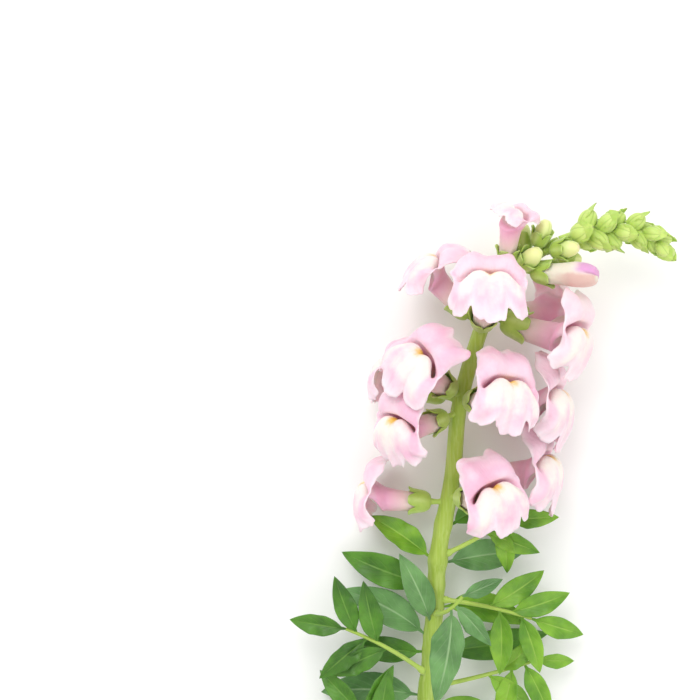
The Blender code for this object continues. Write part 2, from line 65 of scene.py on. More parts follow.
# What brings the middle of the whole stem over the origin.
STEM_SHIFT = (0.0165, 0.0485, 0.0, 0.0)
PATH_POINTS = 481
DIRECTION_REACH = 0.003
TIP_START = 0.4000
STEM_SIDES = 40
STEM_RINGS = 420
STEM_RIDGES = 5
RIDGE_HEIGHT = 0.00016
RIDGE_TWIST = 9.0
# Where leaves grow or, near the foot, have been stripped.
NODE_DISTANCES = [0.0850, 0.0980, 0.1180, 0.1320, 0.1480, 0.1540, 0.1720, 0.1800, 0.1950,
                  0.2060, 0.2180, 0.2200, 0.2380]
NODE_SWELLING = 0.0005
NODE_LENGTH = 0.0035
# The cut face: rings drawn in from its edge to a slightly hollow middle.
CUT_INSET = 0.0002
CUT_SHARES = np.array([0.0, 0.35, 0.7, 0.9])
CUT_DEPTHS = np.array([0.0005, 0.0003, 0.0, 0.0])
TABLE_GAP = 0.0001
STEM_RELIEF = 0.00012
NOISE_ROUGHNESS = 0.55


def spline_weights(positions, count, closed=False):
    """The share of each of count points in a smooth curve through them, at each position."""
    positions = np.asarray(positions, float)
    start = np.floor(positions).astype(int)
    if not closed:
        start = np.clip(start, 0, count - 2)
    t = positions - start
    shares = [(-t + 2 * t**2 - t**3) / 2, (2 - 5 * t**2 + 3 * t**3) / 2,
              (t + 4 * t**2 - 3 * t**3) / 2, (t**3 - t**2) / 2]
    weights = np.zeros((*positions.shape, count))
    spots = np.indices(positions.shape)
    for step, share in enumerate(shares):
        index = start + step - 1
        index = index % count if closed else np.clip(index, 0, count - 1)
        np.add.at(weights, (*spots, index), share)
    return weights


def smooth(knots, rows):
    """The smooth curve through the knots, at rows even steps."""
    return spline_weights(np.linspace(0, len(knots) - 1, rows), len(knots)) @ knots


def unit(vectors):
    """The vectors at a length of one."""
    return vectors / np.maximum(np.linalg.norm(vectors, axis=-1, keepdims=True), 1e-12)


def near(values, middle, width):
    """1 at the middle, falling away smoothly to each side."""
    return np.exp(-((values - middle) / width) ** 2)


fine_path = smooth(STEM_PLACES - STEM_SHIFT, PATH_POINTS)
steps = np.linalg.norm(np.diff(fine_path[:, :3], axis=0), axis=1)
path_distance = np.concatenate([[0.0], np.cumsum(steps)])


def stem_place(distance):
    """The axis at distances from the cut end: points and radii."""
    values = np.stack([np.interp(distance, path_distance, fine_path[:, i]) for i in range(4)], -1)
    return values[..., :3], values[..., 3]


def stem_frame(distance):
    """The axis there: points, radii, the directions along it, to its top and to its side."""
    distance = np.asarray(distance, float)
    places, radii = stem_place(distance)
    along = unit(stem_place(distance + DIRECTION_REACH)[0]
                 - stem_place(distance - DIRECTION_REACH)[0])
    top = unit(np.array((0, 0, 1.0)) - along * along[..., 2:])
    return places, radii, along, top, np.cross(along, top)


def turn_angles(count):
    """Even angles round a turn."""
    return np.linspace(0, 2 * math.pi, count, endpoint=False)


def spokes(top, side, count):
    """Unit vectors round each place of a line, from its top towards its side."""
    angles = turn_angles(count)[None, :, None]
    return top[:, None] * np.cos(angles) + side[:, None] * np.sin(angles)


def grid_mesh(name, points, closed=False, capped=False, **notes):
    """A mesh of a grid of points, rows by columns, with named values kept at its points."""
    rows, columns = points.shape[:2]
    index = np.arange(rows * columns).reshape(rows, columns)
    right = np.roll(index, -1, axis=1) if closed else index[:, 1:]
    left = index if closed else index[:, :-1]
    faces = np.stack([left[:-1], right[:-1], right[1:], left[1:]], -1).reshape(-1, 4).tolist()
    if capped:
        faces += [index[0, ::-1].tolist(), index[-1].tolist()]
    mesh = bpy.data.meshes.new(name)
    mesh.from_pydata(points.reshape(-1, 3).tolist(), [], faces)
    for title, values in notes.items():
        layer = mesh.attributes.new(title, "FLOAT", "POINT")
        layer.data.foreach_set("value", np.broadcast_to(values, (rows, columns)).ravel())
    mesh.shade_smooth()
    return mesh


def add_piece(name, mesh, finish, nodes=(), thickness=0.0):
    """A piece of the stem: its mesh, a thickness if it is a leaf or petal, and what it stands for."""
    piece = bpy.data.objects.new(name, mesh)
    bpy.context.scene.collection.objects.link(piece)
    mesh.materials.append(finish)
    if thickness:
        solid = piece.modifiers.new("Thickness", "SOLIDIFY")
        solid.thickness = thickness
        solid.offset = 0.0
    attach(piece, "root")
    if nodes:
        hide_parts(*nodes)
    return piece


def tint(code):
    """A colour written as six hexadecimal digits, as the linear values that a shader takes."""
    shares = [int(code[i:i + 2], 16) / 255 for i in (0, 2, 4)]
    linear = [s / 12.92 if s <= 0.04045 else ((s + 0.055) / 1.055) ** 2.4 for s in shares]
    return (*linear, 1.0)


class Value:
    """An output of a shader node, so that maths on it reads as plain sums."""

    def __init__(self, finish, socket):
        self.finish = finish
        self.socket = socket

    def math(self, operation, *terms):
        """A Math node on the terms."""
        return self.finish.node("ShaderNodeMath", {"operation": operation}, dict(enumerate(terms)))

    def __add__(self, other):
        return self.math("ADD", self, other)

    def __sub__(self, other):
        return self.math("SUBTRACT", self, other)

    def __rsub__(self, other):
        return self.math("SUBTRACT", other, self)

    def __mul__(self, other):
        return self.math("MULTIPLY", self, other)

    __radd__ = __add__
    __rmul__ = __mul__

    def rise(self, low, high):
        """0 below low, 1 above high and smooth between; falls where low is above high."""
        settings = {"interpolation_type": "SMOOTHSTEP"}
        sockets = {"Value": self, "From Min": low, "From Max": high}
        return self.finish.node("ShaderNodeMapRange", settings, sockets)


class Finish:
    """A material made node by node around one shader."""

    def __init__(self, name, **constants):
        self.material = bpy.data.materials.new(name)
        self.material.use_nodes = True
        self.tree = self.material.node_tree
        self.shader = self.tree.nodes["Principled BSDF"]
        for title, value in constants.items():
            self.shader.inputs[title.replace("_", " ")].default_value = value

    def plug(self, socket, value):
        """Feeds a socket from another node, or sets the value that it holds."""
        if isinstance(value, Value):
            self.tree.links.new(value.socket, socket)
        else:
            socket.default_value = value

    def node(self, kind, settings, sockets, output=None):
        """A node of a kind: its settings first, then its sockets. Gives back one output."""
        made = self.tree.nodes.new(kind)
        for title, value in settings.items():
            setattr(made, title, value)
        for key, value in sockets.items():
            shown = [s for s in made.inputs if s.enabled]
            named = [s for s in shown if s.name == key]
            self.plug(named[0] if named else shown[key], value)
        outputs = [s for s in made.outputs if s.enabled and output in (None, s.name)]
        return Value(self, outputs[0])

    def note(self, title):
        """A value kept at the mesh's points."""
        return self.node("ShaderNodeAttribute", {"attribute_name": title}, {}, "Fac")

    def noise(self, scale, detail, stretch=(1, 1, 1)):
        """Noise over the piece, with about scale lumps a metre."""
        spot = self.node("ShaderNodeTexCoord", {}, {}, "Object")
        spot = self.node("ShaderNodeVectorMath", {"operation": "MULTIPLY"}, {0: spot, 1: stretch})
        sockets = {"Vector": spot, "Scale": scale, "Detail": detail,
                   "Roughness": NOISE_ROUGHNESS}
        return self.node("ShaderNodeTexNoise", {}, sockets, "Fac")

    def mix(self, factor, one, two):
        """One colour turned into another by a factor."""
        settings = {"data_type": "RGBA", "blend_type": "MIX", "clamp_factor": True}
        return self.node("ShaderNodeMix", settings, {"Factor": factor, "A": one, "B": two})

    def dress(self, colour, height=None, depth=0.0, **values):
        """Ends the material: its colour, its relief of a depth in metres and what else varies."""
        self.plug(self.shader.inputs["Base Color"], colour)
        for title, value in values.items():
            self.plug(self.shader.inputs[title.replace("_", " ")], value)
        if height is not None:
            sockets = {"Height": height, "Distance": depth, "Strength": 1.0}
            bump = self.node("ShaderNodeBump", {}, sockets)
            self.plug(self.shader.inputs["Normal"], bump)
        return self.material


# Its skin is greener at the foot and yellower among the flowers, with pale lines along it,
# darker blotches and a pale pith where it is cut.
rod = Finish("stem skin", Subsurface_Weight=0.15, Subsurface_Radius=(0.004, 0.006, 0.001),
             Subsurface_Scale=0.4, Sheen_Weight=0.15)
height_up = rod.note("along")
streaks = rod.noise(900, 3, (1, 0.04, 1))
blotches = rod.noise(60, 3)
green = rod.mix(height_up.rise(0.05, 0.75), tint("819F2C"), tint("9DB63C"))
green = rod.mix(streaks.rise(0.35, 0.75) * 0.5, green, tint("BFD07A"))
green = rod.mix(blotches.rise(0.5, 0.8) * 0.45, green, tint("7B9C38"))
green = rod.mix(rod.note("pith"), green, tint("D6DDA6"))
stem_finish = rod.dress(green, streaks, STEM_RELIEF, Roughness=0.42 + blotches * 0.2)

rings = np.linspace(CUT_INSET, TIP_START, STEM_RINGS)
places, radii, along, top, side = stem_frame(rings)
swelling = sum(near(rings, d, NODE_LENGTH) for d in NODE_DISTANCES) * NODE_SWELLING
ridge_turns = STEM_RIDGES * turn_angles(STEM_SIDES)[None, :] + RIDGE_TWIST * rings[:, None]
skin_radius = (radii + swelling)[:, None] + RIDGE_HEIGHT * np.cos(ridge_turns)
outward = spokes(top, side, STEM_SIDES)
skin = places[:, None, :] + outward * skin_radius[..., None]
cut_face = (places[0] + outward[:1] * (skin_radius[:1] * CUT_SHARES[:, None])[..., None]
            + along[0] * CUT_DEPTHS[:, None, None])
skin = np.concatenate([cut_face, skin])
skin[..., 2] = np.maximum(skin[..., 2], TABLE_GAP)
pith = np.zeros((len(skin), 1))
pith[:len(cut_face)] = 1.0
stem_mesh = grid_mesh("stem", skin, closed=True, capped=True, pith=pith,
                      along=np.concatenate([np.zeros(len(cut_face)), rings / TIP_START])[:, None])
add_piece("stem", stem_mesh, stem_finish, ["stem"])


# The stalks and calyces. Each flower sits on a short green stalk in a cup of five pointed
# sepals that clasp the foot of its tube and turn out a little at their tips.
# Flowers: distance, turn round the axis, rise, roll, turn of the face, size and opening.
FLOWERS = [
    (0.2540, 30, 10, 22, 0, 0.94, 1.0),
    (0.2490, -92, -10, 0, 0, 0.90, 1.0),
    (0.2640, 95, 6, -6, -22, 1.10, 1.0),
    (0.2950, -50, -16, 0, 0, 0.90, 1.0),
    (0.3026, 27, 14, 0, 0, 0.98, 1.0),
    (0.3020, -112, 6, 0, 0, 0.92, 1.0),
    (0.3030, 99, 3, -8, -26, 1.14, 1.0),
    (0.3060, -44, 16, -24, 0, 0.98, 1.0),
    (0.3420, -98, 24, 0, 15, 0.90, 1.0),
    (0.3400, -8, 30, 20, 0, 1.00, 1.0),
    (0.3480, 84, 6, 0, -20, 1.10, 0.9),
    (0.3520, 128, 16, 0, 0, 0.90, 0.9),
    (0.3700, -50, 44, 0, 0, 0.80, 0.65),
    (0.3770, 55, 37, 0, 0, 0.94, 0.0),
]
# Buds: distance, turn round the axis, rise and size.
BUDS = [
    (0.3760, 0, 42, 0.95),
    (0.3800, -115, 40, 0.95),
    (0.3880, -50, 45, 0.85),
    (0.3930, 30, 46, 0.90),
    (0.3940, 112, 42, 0.85),
]
# The cup's outline from its foot, then the sepals': distance along the flower and radius.
CUP_PROFILE = np.array([(-0.0032, 0.0012), (-0.0026, 0.0036), (0.0, 0.0054), (0.0030, 0.0060)])
SEPAL_PROFILE = np.array([(0.0052, 0.0064), (0.0074, 0.0068), (0.0095, 0.0078)])
CALYX_COLUMNS = 80
CUP_ROWS = 8
SEPAL_ROWS = 8
SEPALS = 5
SEPAL_JOINED = 0.28
SEPAL_ROUNDING = 1.6
SEPAL_CRESTS = (1, 2, 3)
SEPAL_UNEVENNESS = 0.08
SEPAL_THICKNESS = 0.0006
SEPAL_RELIEF = 0.00015
RIB_HEIGHT = 0.03
RIB_SHARPNESS = 6
CUP_ROOM = 0.0002
STALK_LENGTH = 0.0075
BUD_STALK_LENGTH = 0.0045
BUD_CALYX_SIZE = 0.86
# A stalk's foot reaches into the axis, and its end stops just inside the cup's foot.
STALK_RINGS = 14
STALK_COLUMNS = 16
STALK_RADIUS = 0.00125
STALK_ROOT = 0.0015
STALK_END = 0.0022
STALK_FLARE = 0.0010
STALK_FLARE_SHARE = 0.22
STALK_TONE = 0.3
WAVE_SPREAD = (0.6, 1.4)
CALYX_SEED = 11


def wave_sum(angles, counts, draw):
    """A seeded irregular wave round a turn, about one high, with the given numbers of crests."""
    return sum(math.sqrt(1 / len(counts)) * draw.uniform(*WAVE_SPREAD)
               * np.sin(count * angles + draw.uniform(0, 2 * math.pi)) for count in counts)


class Seat:
    """Where a piece grows: an origin and the three axes of the piece's own measure."""

    def __init__(self, origin, forward, side, up):
        self.origin = origin
        self.axes = np.stack([forward, side, up])

    def place(self, points):
        """Points of the piece's own measure, as they lie on the stem."""
        return self.origin + points @ self.axes

    def ahead(self, distance):
        """The seat moved forward by a distance."""
        return Seat(self.origin + self.axes[0] * distance, *self.axes)


def rolled(origin, forward, side, up, roll):
    """A seat turned about its forward axis."""
    c, s = math.cos(math.radians(roll)), math.sin(math.radians(roll))
    return Seat(origin, forward, side * c + up * s, up * c - side * s)


def growth_seat(distance, turn, rise, roll=0.0):
    """A seat on the axis's skin: forward the way the piece grows, up towards the tip."""
    place, radius, along, top, side = stem_frame(distance)
    turn, rise = math.radians(turn), math.radians(rise)
    outward = top * math.cos(turn) + side * math.sin(turn)
    forward = outward * math.cos(rise) + along * math.sin(rise)
    up = unit(along - forward * (along @ forward))
    return rolled(place + outward * radius, forward, np.cross(up, forward), up, roll)


def turned(along, radius, angles):
    """Points round a forward axis, from how far along it, how far out and at which angle."""
    return np.stack(np.broadcast_arrays(along, radius * np.sin(angles), radius * np.cos(angles)),
                    -1)


def join(name, meshes):
    """One mesh of several, which are removed."""
    things = [bpy.data.objects.new(name, mesh) for mesh in meshes]
    for thing in things:
        bpy.context.scene.collection.objects.link(thing)
    with bpy.context.temp_override(active_object=things[0], selected_editable_objects=things):
        bpy.ops.object.join()
    joined = things[0].data
    bpy.data.objects.remove(things[0])
    joined.name = name
    return joined


def calyx_mesh(seat, size, draw):
    """A cup of five sepals round the foot of a flower."""
    angles = turn_angles(CALYX_COLUMNS)
    sepal = np.abs(np.cos(SEPALS / 2 * angles))
    blade = 1 - (1 - sepal) ** SEPAL_ROUNDING
    uneven = 1 + SEPAL_UNEVENNESS * wave_sum(angles, SEPAL_CRESTS, draw)
    lengths = SEPAL_JOINED + (1 - SEPAL_JOINED) * blade * uneven
    cup = smooth(CUP_PROFILE, CUP_ROWS)
    profile = np.concatenate([CUP_PROFILE[-1:], SEPAL_PROFILE])
    shares = np.linspace(1 / SEPAL_ROWS, 1, SEPAL_ROWS)[:, None] * lengths[None, :]
    blades = spline_weights(shares * (len(profile) - 1), len(profile)) @ profile
    outline = np.concatenate([np.repeat(cup[:, None], CALYX_COLUMNS, axis=1), blades])
    rib = np.concatenate([np.linspace(0, 1, CUP_ROWS), np.ones(SEPAL_ROWS)])[:, None]
    rib = rib * sepal[None, :] ** RIB_SHARPNESS
    radius = outline[..., 1] * (1 + RIB_HEIGHT * rib) + CUP_ROOM
    points = turned(outline[..., 0], radius, angles)
    return grid_mesh("calyx", seat.place(points * size), closed=True, rib=rib,
                     along=np.linspace(0, 1, CUP_ROWS + SEPAL_ROWS)[:, None])


def stalk_mesh(seat, length, size):
    """The short stalk from the axis to the calyx, flared where it joins each."""
    shares = np.linspace(0, 1, STALK_RINGS)[:, None]
    reach = -STALK_ROOT + (length - STALK_END * size + STALK_ROOT) * shares
    radius = (STALK_RADIUS + STALK_FLARE * size * shares ** 3
              + STALK_FLARE * near(shares, 0, STALK_FLARE_SHARE))
    points = turned(reach, radius, turn_angles(STALK_COLUMNS))
    return grid_mesh("stalk", seat.place(points), closed=True, capped=True, rib=0.0,
                     along=shares * STALK_TONE)


# The sepals' skin is a mottled green with a paler rib down each one.
sepals = Finish("sepal green", Subsurface_Weight=0.2, Subsurface_Radius=(0.004, 0.006, 0.001),
                Subsurface_Scale=0.4, Sheen_Weight=0.2)
mottle = sepals.noise(300, 4)
green = sepals.mix(sepals.note("along"), tint("AEC758"), tint("9CB848"))
green = sepals.mix(sepals.note("rib") * 0.5, green, tint("C9DC90"))
green = sepals.mix(mottle.rise(0.45, 0.75) * 0.35, green, tint("84A83C"))
sepal_finish = sepals.dress(green, mottle, SEPAL_RELIEF, Roughness=0.4 + mottle * 0.2)

draw = random.Random(CALYX_SEED)
calyx_meshes, stalk_meshes = [], []
for distance, turn, rise, roll, _, size, _ in FLOWERS:
    seat = growth_seat(distance, turn, rise, roll)
    calyx_meshes.append(calyx_mesh(seat.ahead(STALK_LENGTH), size, draw))
    stalk_meshes.append(stalk_mesh(seat, STALK_LENGTH, size))
for distance, turn, rise, size in BUDS:
    seat = growth_seat(distance, turn, rise)
    calyx_meshes.append(calyx_mesh(seat.ahead(BUD_STALK_LENGTH), size * BUD_CALYX_SIZE, draw))
    stalk_meshes.append(stalk_mesh(seat, BUD_STALK_LENGTH, size * BUD_CALYX_SIZE))
add_piece("calyces", join("calyces", calyx_meshes), sepal_finish,
          thickness=SEPAL_THICKNESS)
add_piece("stalks", join("stalks", stalk_meshes), sepal_finish)


# The flowers. A snapdragon's corolla is one thin petal tube with two lips: an upper lip of two
# lobes turned back, and a lower lip of three below a swollen palate that shuts the mouth.
# Rings of the tube: distance from its foot, half width, half height and height of its middle.
# With the lips' rows they are the ten rows, 0 to 9, of the cage that shapes a flower.
TUBE_RINGS = [
    (0.0000, 0.0024, 0.0024, 0.0000),
    (0.0030, 0.0046, 0.0048, -0.0006),
    (0.0130, 0.0056, 0.0056, 0.0000),
    (0.0210, 0.0068, 0.0064, 0.0006),
]
# Rows of the open lips from the mouth out, each from the upper middle to the lower middle:
# distance from the foot, distance from the middle plane and height.
LIP_ROWS = [
    [(0.0250, 0.0000, 0.0080), (0.0255, 0.0060, 0.0078), (0.0255, 0.0100, 0.0040),
     (0.0250, 0.0095, -0.0010), (0.0245, 0.0060, -0.0040), (0.0245, 0.0000, -0.0050)],
    [(0.0290, 0.0000, 0.0108), (0.0300, 0.0070, 0.0106), (0.0290, 0.0122, 0.0062),
     (0.0288, 0.0112, 0.0024), (0.0288, 0.0062, 0.0052), (0.0282, 0.0000, 0.0046)],
    [(0.0325, 0.0000, 0.0125), (0.0340, 0.0085, 0.0124), (0.0312, 0.0150, 0.0074),
     (0.0330, 0.0140, 0.0040), (0.0342, 0.0072, 0.0082), (0.0336, 0.0000, 0.0074)],
    [(0.0325, 0.0000, 0.0172), (0.0338, 0.0105, 0.0176), (0.0308, 0.0168, 0.0084),
     (0.0362, 0.0158, -0.0010), (0.0386, 0.0082, 0.0034), (0.0378, 0.0000, 0.0030)],
    [(0.0285, 0.0000, 0.0222), (0.0288, 0.0119, 0.0218), (0.0290, 0.0176, 0.0080),
     (0.0345, 0.0172, -0.0062), (0.0384, 0.0094, -0.0062), (0.0382, 0.0000, -0.0070)],
    [(0.0222, 0.0000, 0.0246), (0.0212, 0.0126, 0.0236), (0.0262, 0.0178, 0.0072),
     (0.0275, 0.0190, -0.0088), (0.0335, 0.0112, -0.0152), (0.0352, 0.0000, -0.0175)],
]
# Rings of the lips while they are shut.
SHUT_RINGS = [
    (0.0240, 0.0064, 0.0064, 0.0006),
    (0.0268, 0.0062, 0.0062, 0.0006),
    (0.0292, 0.0057, 0.0057, 0.0006),
    (0.0312, 0.0050, 0.0050, 0.0006),
    (0.0328, 0.0038, 0.0038, 0.0006),
    (0.0338, 0.0003, 0.0003, 0.0006),
]
CAGE_POINTS = 10
MOUTH_ROW = 4
# How far each flower is faded to cream, from the foot of the spike up.
PALENESS = [0.0, 0.1, 0.15, 0.1, 0.05, 0.1, 0.2, 0.0, 0.1, 0.15, 0.5, 0.3, 0.35, 0.6]
# Notches between the lobes: degrees from the upper middle, half width in degrees and depth in
# rows. The edge also has small nicks and a frill that grows towards it.
NOTCHES = [(0, 9, 0.25), (76, 20, 1.9), (148, 9, 0.6), (212, 9, 0.6), (284, 20, 1.9),
           (360, 9, 0.25)]
NICK_DEPTH = 0.11
NICK_CRESTS = (7, 13, 19, 31)
FRILL_HEIGHT = 0.0015
FRILL_CRESTS = (3, 5, 8, 14)
FRILL_FROM = 6.8
FRILL_ROWS = 2.2
FRILL_GROWTH = 1.6
# The palate's two swellings and the crease between them: the row, its spread, the degrees from
# the lower middle and their spread.
PALATE_BULGE = 0.0018
PALATE_PLACE = (6.0, 1.6, 20, 26)
PALATE_CREASE = 0.0004
CREASE_PLACE = (5.4, 0.8, 0, 7)
# The seams of a shut flower, where its lobes fold over each other: degrees from the lower
# middle and width.
SEAMS = [(84, 9), (180, 10)]
FURL_DEPTH = 0.0008
FURL_FROM = 4.6
FURL_ROWS = 1.6
FOOT_INSET = 0.0002
# Where a tube starts to bend sideways, and over what length.
BEND_START = 0.0120
BEND_LENGTH = 0.0130
COROLLA_COLUMNS = 156
COROLLA_ROWS = 58
PETAL_THICKNESS = 0.0004
PETAL_RELIEF = 0.0003
BLOOM_SEED = 100
# The lowest and the highest that petals and leaves lie, and where they start to be pressed.
PRESSED_HEIGHT = 0.0005
PRESS_FROM = 0.0060
CEILING = 0.0818
CEILING_FROM = 0.0790


def press(points):
    """The points eased flat where they come near the table or the greatest height."""
    room = PRESS_FROM - PRESSED_HEIGHT
    low = points[..., 2] < PRESS_FROM
    points[low, 2] = PRESSED_HEIGHT + room * np.exp((points[low, 2] - PRESS_FROM) / room)
    room = CEILING - CEILING_FROM
    high = points[..., 2] > CEILING_FROM
    points[high, 2] = CEILING - room * np.exp((CEILING_FROM - points[high, 2]) / room)
    return points


def ring_row(ring):
    """One turn of the cage from a tube ring."""
    x, half_width, half_height, centre = ring
    points = turned(x, np.ones(CAGE_POINTS), turn_angles(CAGE_POINTS))
    return points * (1, half_width, half_height) + (0, 0, centre)


def lip_row(half):
    """One turn of the cage from the half of a lip row."""
    half = np.array(half)
    return np.concatenate([half, half[-2:0:-1] * (1, -1, 1)])


open_cage = np.array([ring_row(r) for r in TUBE_RINGS] + [lip_row(r) for r in LIP_ROWS])
shut_cage = np.array([ring_row(r) for r in TUBE_RINGS + SHUT_RINGS])


def ramp(values, start, length):
    """0 up to the start, then growing evenly to 1 over the length."""
    return np.clip((values - start) / length, 0, 1)


def patch(rows, angles, place):
    """1 at a place on a corolla, falling away smoothly."""
    row, row_width, angle, angle_width = place
    return near(rows, row, row_width) * near(angles, angle, angle_width)


def face_side(points, angle, size):
    """A corolla's points once its tube bends sideways, so that its face turns by the angle."""
    reach = np.maximum(points[..., 0] - BEND_START * size, 0.0)
    bend = math.radians(angle) * np.minimum(reach / (BEND_LENGTH * size), 1.0)
    x = points[..., 0] + reach * (np.cos(bend) - 1) - points[..., 1] * np.sin(bend)
    y = points[..., 1] * np.cos(bend) + reach * np.sin(bend)
    return np.stack([x, y, points[..., 2]], -1)


def corolla_mesh(seat, face, size, opening, pale, draw):
    """One corolla: its tube and both lips, frilled at the edge and creased at the palate."""
    degrees = np.linspace(0, 360, COROLLA_COLUMNS, endpoint=False)[None, :]
    angles = np.radians(degrees)
    from_middle = np.abs(degrees - 180)
    last_row = len(open_cage) - 1
    lip_rows = last_row - MOUTH_ROW
    rows = np.linspace(0, last_row, COROLLA_ROWS)[:, None]
    shut = (1 - opening) ** 3

    nicks = NICK_DEPTH * wave_sum(angles, NICK_CRESTS, draw)
    depth = (sum(d * near(degrees, a, w) for a, w, d in NOTCHES) + nicks) * opening
    lips = MOUTH_ROW + (rows - MOUTH_ROW) * (lip_rows - depth) / lip_rows
    reach = np.where(rows > MOUTH_ROW, lips, rows)
    cage = (open_cage * opening + shut_cage * (1 - opening)) * size
    round_turn = spline_weights(degrees[0] * CAGE_POINTS / 360, CAGE_POINTS, closed=True)
    points = np.einsum("rck,cj,kjx->rcx", spline_weights(reach, last_row + 1), round_turn, cage)

    down = np.gradient(points, axis=0)
    across = np.roll(points, -1, axis=1) - np.roll(points, 1, axis=1)
    normal = unit(np.cross(down, across))
    edge = ramp(rows, FRILL_FROM, FRILL_ROWS) ** FRILL_GROWTH
    frill = FRILL_HEIGHT * edge * wave_sum(angles, FRILL_CRESTS, draw)
    palate = (PALATE_BULGE * patch(rows, from_middle, PALATE_PLACE)
              - PALATE_CREASE * patch(rows, from_middle, CREASE_PLACE))
    seams = sum(near(from_middle, a, w) for a, w in SEAMS)
    furl = FURL_DEPTH * seams * ramp(rows, FURL_FROM, FURL_ROWS) * shut
    points += normal * (((frill - palate) * opening - furl) * size)[..., None]

    foot = np.zeros((1, COROLLA_COLUMNS, 3)) + (FOOT_INSET, 0, 0)
    points = face_side(np.concatenate([foot, points]), face, size)
    # The depth of the folds and frill hollows, which the petal's painted fold shade reads.
    folds = furl / FURL_DEPTH - frill / FRILL_HEIGHT * opening
    return grid_mesh("corolla", press(seat.place(points)), closed=True,
                     row=np.concatenate([np.zeros((1, 1)), rows]),
                     folds=np.concatenate([np.zeros((1, COROLLA_COLUMNS)), folds]),
                     turn=180 - np.abs(180 - degrees), pale=pale, shut=shut)


# A petal is pink and pale at its edge, on a cream tube, with a cream palate and a yellow spot.
# Its folds and frill hollows get a painted shade of deeper pink. Shut, it is cream with a peach
# and a mauve lip, with a painted shade of darker mauve in its folded seams.
# Its row runs from 0 at the foot to 4 at the mouth and 9 at the edge, and its turn from 0
# degrees at the upper middle to 180 at the lower middle.
petal = Finish("petal pink", Roughness=0.5, Subsurface_Weight=0.35,
               Subsurface_Radius=(0.006, 0.003, 0.003), Subsurface_Scale=0.5, Sheen_Weight=0.2)
row, turn, pale, folds, shut = (petal.note(title)
                                for title in ("row", "turn", "pale", "folds", "shut"))
cloud = petal.noise(70, 3)
fine = petal.noise(420, 4)
lower = turn.rise(106, 124)
blush = petal.mix(cloud.rise(0.3, 0.75), tint("F5CCDB"), tint("ECAFC8"))
blush = petal.mix(pale, blush, petal.mix(cloud, tint("FBE8E6"), tint("F4CED8")))
# Painted shade: the folds and frill hollows are painted a deeper pink, less so on the lower lip.
blush = petal.mix(folds.rise(0.1, 1.0) * (1 - lower * 0.6) * 0.6, blush, tint("EC9ABA"))
# Painted shade: the tube and the throat, up to just past the mouth, are painted a deeper pink.
blush = petal.mix(row.rise(5.4, 4.2) * 0.8, blush, tint("F09CBC"))
blush = petal.mix(row.rise(3.4, 1.0) * 0.85, blush, tint("EBD8C2"))
blush = petal.mix(row.rise(8.0, 9.0) * cloud.rise(0.3, 0.55) * 0.8, blush, tint("FBE6EB"))
palate = lower * row.rise(4.2, 4.7) * (row + cloud * 3).rise(10.2, 8.2)
cream = petal.mix(cloud.rise(0.4, 0.7) * 0.7, tint("F8ECDF"), tint("F5D7DA"))
blush = petal.mix(palate * (0.72 + fine * 0.3), blush, cream)
spot = turn.rise(156, 170) * row.rise(4.9, 5.4) * (row + fine * 0.8).rise(7.2, 6.3)
blush = petal.mix(spot * 0.95, blush, tint("F0BC38"))
peach = (turn + cloud * 50).rise(122, 142) * (row + cloud).rise(2.0, 3.4) * row.rise(8.8, 8.0)
furled = petal.mix(peach * 0.8, tint("F5E4CF"), tint("E3AAA2"))
mauve = (row + cloud * 2).rise(3.4, 6.0) * turn.rise(116, 84)
furled = petal.mix(mauve, furled, tint("E39CCB"))
# Painted shade: a shut flower's folded seams are painted a darker mauve.
furled = petal.mix(folds.rise(0.2, 1.0) * 0.6, furled, tint("C98AA6"))
blush = petal.mix(shut, blush, furled)
veins = turn * 1.1 + cloud * 16 + fine * 2
veins = veins.math("SINE", veins)
petal_finish = petal.dress(blush, fine + veins * 0.07, PETAL_RELIEF)

for number, (distance, turn_angle, rise, roll, face, size, opening) in enumerate(FLOWERS, 1):
    seat = growth_seat(distance, turn_angle, rise, roll).ahead(STALK_LENGTH)
    mesh = corolla_mesh(seat, face, size, opening, PALENESS[number - 1],
                        random.Random(BLOOM_SEED + number))
    add_piece(f"bloom_{number:02d}", mesh, petal_finish, [f"bloom_{number:02d}"],
              thickness=PETAL_THICKNESS)


# The flower buds. Each is a shut egg of cream petals, folded over one another, with the seam
# of the lips across its end.
# The outline from the foot: distance along the bud, radius and height of its middle.
BUD_PROFILE = np.array([
    (0.0000, 0.0022, 0.0000), (0.0025, 0.0042, 0.0000), (0.0065, 0.0048, 0.0000),
    (0.0105, 0.0043, 0.0002), (0.0135, 0.0027, 0.0004), (0.0147, 0.0002, 0.0004),
])
BUD_COLUMNS = 72
BUD_ROWS = 60
BUD_CRESTS = (2, 3, 5)
BUD_UNEVENNESS = 0.03
# The fold at each side and the crease of the upper lip: depths in shares of the radius, the
# fold's middle and width as cosines, and the outline's points from which they deepen.
BUD_FOLD_DEPTH = 0.10
BUD_FOLD_MIDDLE = 0.25
BUD_FOLD_WIDTH = 0.16
BUD_FOLD_FROM = 1.8
BUD_CREASE_DEPTH = 0.07
BUD_CREASE_WIDTH = 0.10
BUD_CREASE_FROM = 2.2
BUD_FOLD_ROWS = 2.0
BUD_RELIEF = 0.0002
BUD_SEED = 200


